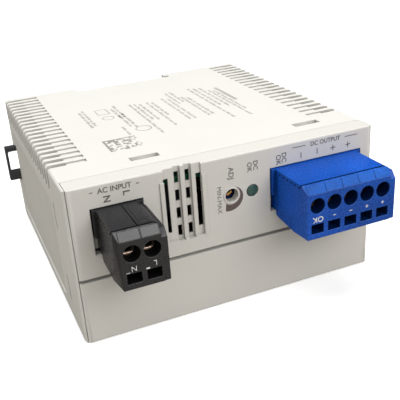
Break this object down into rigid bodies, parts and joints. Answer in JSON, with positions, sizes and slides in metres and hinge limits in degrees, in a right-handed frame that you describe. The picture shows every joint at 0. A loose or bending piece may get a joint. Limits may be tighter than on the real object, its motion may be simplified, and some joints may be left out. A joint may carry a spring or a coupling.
{
  "type": "din rail power supply",
  "caption": "Slim power supply that clips to a DIN rail, with pull-off input and output terminals, an adjuster and a status light on the front.",
  "frame": {"origin": "centre of the flat seat that rests on the front of the rail, half-way across the width", "axes": "+Y is the way out of the back, into the rail; -Y is the terminal face; +X runs across the height to the output plug's end; +Z comes out of the printed broad side, and the rail runs along Z"},
  "size_m": [0.0936, 0.1098, 0.0446],
  "materials": {
    "grey_shell": "fine matt texture",
    "grey_cover": "fine matt texture",
    "latch_grey": "satin",
    "spring_steel": "satin",
    "plug_black": "satin",
    "plug_blue": "satin",
    "contact_copper": "satin",
    "header_grey": "matt",
    "tin": "satin",
    "lens_green": "clear, tinted",
    "led_green": "gloss",
    "trimmer_blue": "satin",
    "trimmer_brass": "satin",
    "board_green": "solder resist",
    "ferrite": "matt",
    "winding": "enamelled",
    "tape_yellow": "tape",
    "bobbin_black": "matt",
    "sleeve_black": "satin",
    "sleeve_dark": "satin",
    "epoxy_black": "matt",
    "epoxy_blue": "satin",
    "epoxy_green": "satin",
    "film_grey": "satin",
    "aluminium": "satin",
    "screw_steel": "bright",
    "fuse_brown": "satin"
  },
  "bodies": {
    "chassis": {"bridge_rectifier": "epoxy_black", "bulk_capacitor": "sleeve_black", "choke_core": "ferrite", "choke_winding_1": "winding", "choke_winding_2": "winding", "control_chip": "epoxy_black", "front_cover": "grey_cover", "housing_shell": "grey_shell", "input_fuse": "fuse_brown", "input_header": "header_grey", "input_header_pin_1": "tin", "input_header_pin_2": "tin", "inrush_limiter": "epoxy_green", "latch_spring": "spring_steel", "main_circuit_board": "board_green", "optocoupler": "epoxy_black", "output_capacitor_1": "sleeve_dark", "output_capacitor_2": "sleeve_dark", "output_choke_core": "ferrite", "output_choke_winding": "winding", "output_header": "header_grey", "output_header_pin_1": "tin", "output_header_pin_2": "tin", "output_header_pin_3": "tin", "output_header_pin_4": "tin", "output_header_pin_5": "tin", "output_rectifier": "epoxy_black", "primary_heatsink": "aluminium", "primary_screw": "screw_steel", "secondary_heatsink": "aluminium", "secondary_screw": "screw_steel", "status_lamp": "led_green", "status_light_pipe": "lens_green", "surge_varistor": "epoxy_blue", "switching_transistor": "epoxy_black", "transformer_bobbin": "bobbin_black", "transformer_core": "ferrite", "transformer_winding": "tape_yellow", "trimmer_body": "trimmer_blue", "x_capacitor": "film_grey", "y_capacitor": "epoxy_blue"},
    "rail_latch": {"din_latch": "latch_grey"},
    "adjuster_rotor": {"trimmer_rotor": "trimmer_brass"},
    "input_plug": {"input_plug_body": "plug_black", "input_contact_1": "contact_copper", "input_contact_2": "contact_copper"},
    "output_plug": {"output_plug_body": "plug_blue", "output_contact_1": "contact_copper", "output_contact_2": "contact_copper", "output_contact_3": "contact_copper", "output_contact_4": "contact_copper", "output_contact_5": "contact_copper"},
    "input_clamp_1": {"input_clamp_spring_1": "spring_steel"},
    "input_clamp_2": {"input_clamp_spring_2": "spring_steel"},
    "output_clamp_1": {"output_clamp_spring_1": "spring_steel"},
    "output_clamp_2": {"output_clamp_spring_2": "spring_steel"},
    "output_clamp_3": {"output_clamp_spring_3": "spring_steel"},
    "output_clamp_4": {"output_clamp_spring_4": "spring_steel"},
    "output_clamp_5": {"output_clamp_spring_5": "spring_steel"}
  },
  "joints": [
    {"name": "latch_slide", "type": "slide", "parent": "chassis", "child": "rail_latch", "axis": [-1, 0, 0], "range_m": [0, 0.0045], "stiffness_N_per_m": 400, "deforming": ["latch_spring"]},
    {"name": "adjuster_turn", "type": "hinge", "parent": "chassis", "child": "adjuster_rotor", "pos_m": [0.0009, -0.0853, 0.01105], "axis": [0, -1, 0], "range_deg": [-135, 135]},
    {"name": "input_plug_pull", "type": "slide", "parent": "chassis", "child": "input_plug", "axis": [0, -1, 0], "range_m": [0, 0.012]},
    {"name": "output_plug_pull", "type": "slide", "parent": "chassis", "child": "output_plug", "axis": [0, -1, 0], "range_m": [0, 0.012]},
    {"name": "input_clamp_1_open", "type": "hinge", "parent": "input_plug", "child": "input_clamp_1", "pos_m": [-0.03235, -0.092, 0.00415], "axis": [1, 0, 0], "range_deg": [0, 20]},
    {"name": "input_clamp_2_open", "type": "hinge", "parent": "input_plug", "child": "input_clamp_2", "pos_m": [-0.02727, -0.092, 0.00415], "axis": [1, 0, 0], "range_deg": [0, 20]},
    {"name": "output_clamp_1_open", "type": "hinge", "parent": "output_plug", "child": "output_clamp_1", "pos_m": [0.0179, -0.092, 0.00415], "axis": [1, 0, 0], "range_deg": [0, 20]},
    {"name": "output_clamp_2_open", "type": "hinge", "parent": "output_plug", "child": "output_clamp_2", "pos_m": [0.02298, -0.092, 0.00415], "axis": [1, 0, 0], "range_deg": [0, 20]},
    {"name": "output_clamp_3_open", "type": "hinge", "parent": "output_plug", "child": "output_clamp_3", "pos_m": [0.02806, -0.092, 0.00415], "axis": [1, 0, 0], "range_deg": [0, 20]},
    {"name": "output_clamp_4_open", "type": "hinge", "parent": "output_plug", "child": "output_clamp_4", "pos_m": [0.03314, -0.092, 0.00415], "axis": [1, 0, 0], "range_deg": [0, 20]},
    {"name": "output_clamp_5_open", "type": "hinge", "parent": "output_plug", "child": "output_clamp_5", "pos_m": [0.03822, -0.092, 0.00415], "axis": [1, 0, 0], "range_deg": [0, 20]}
  ]
}
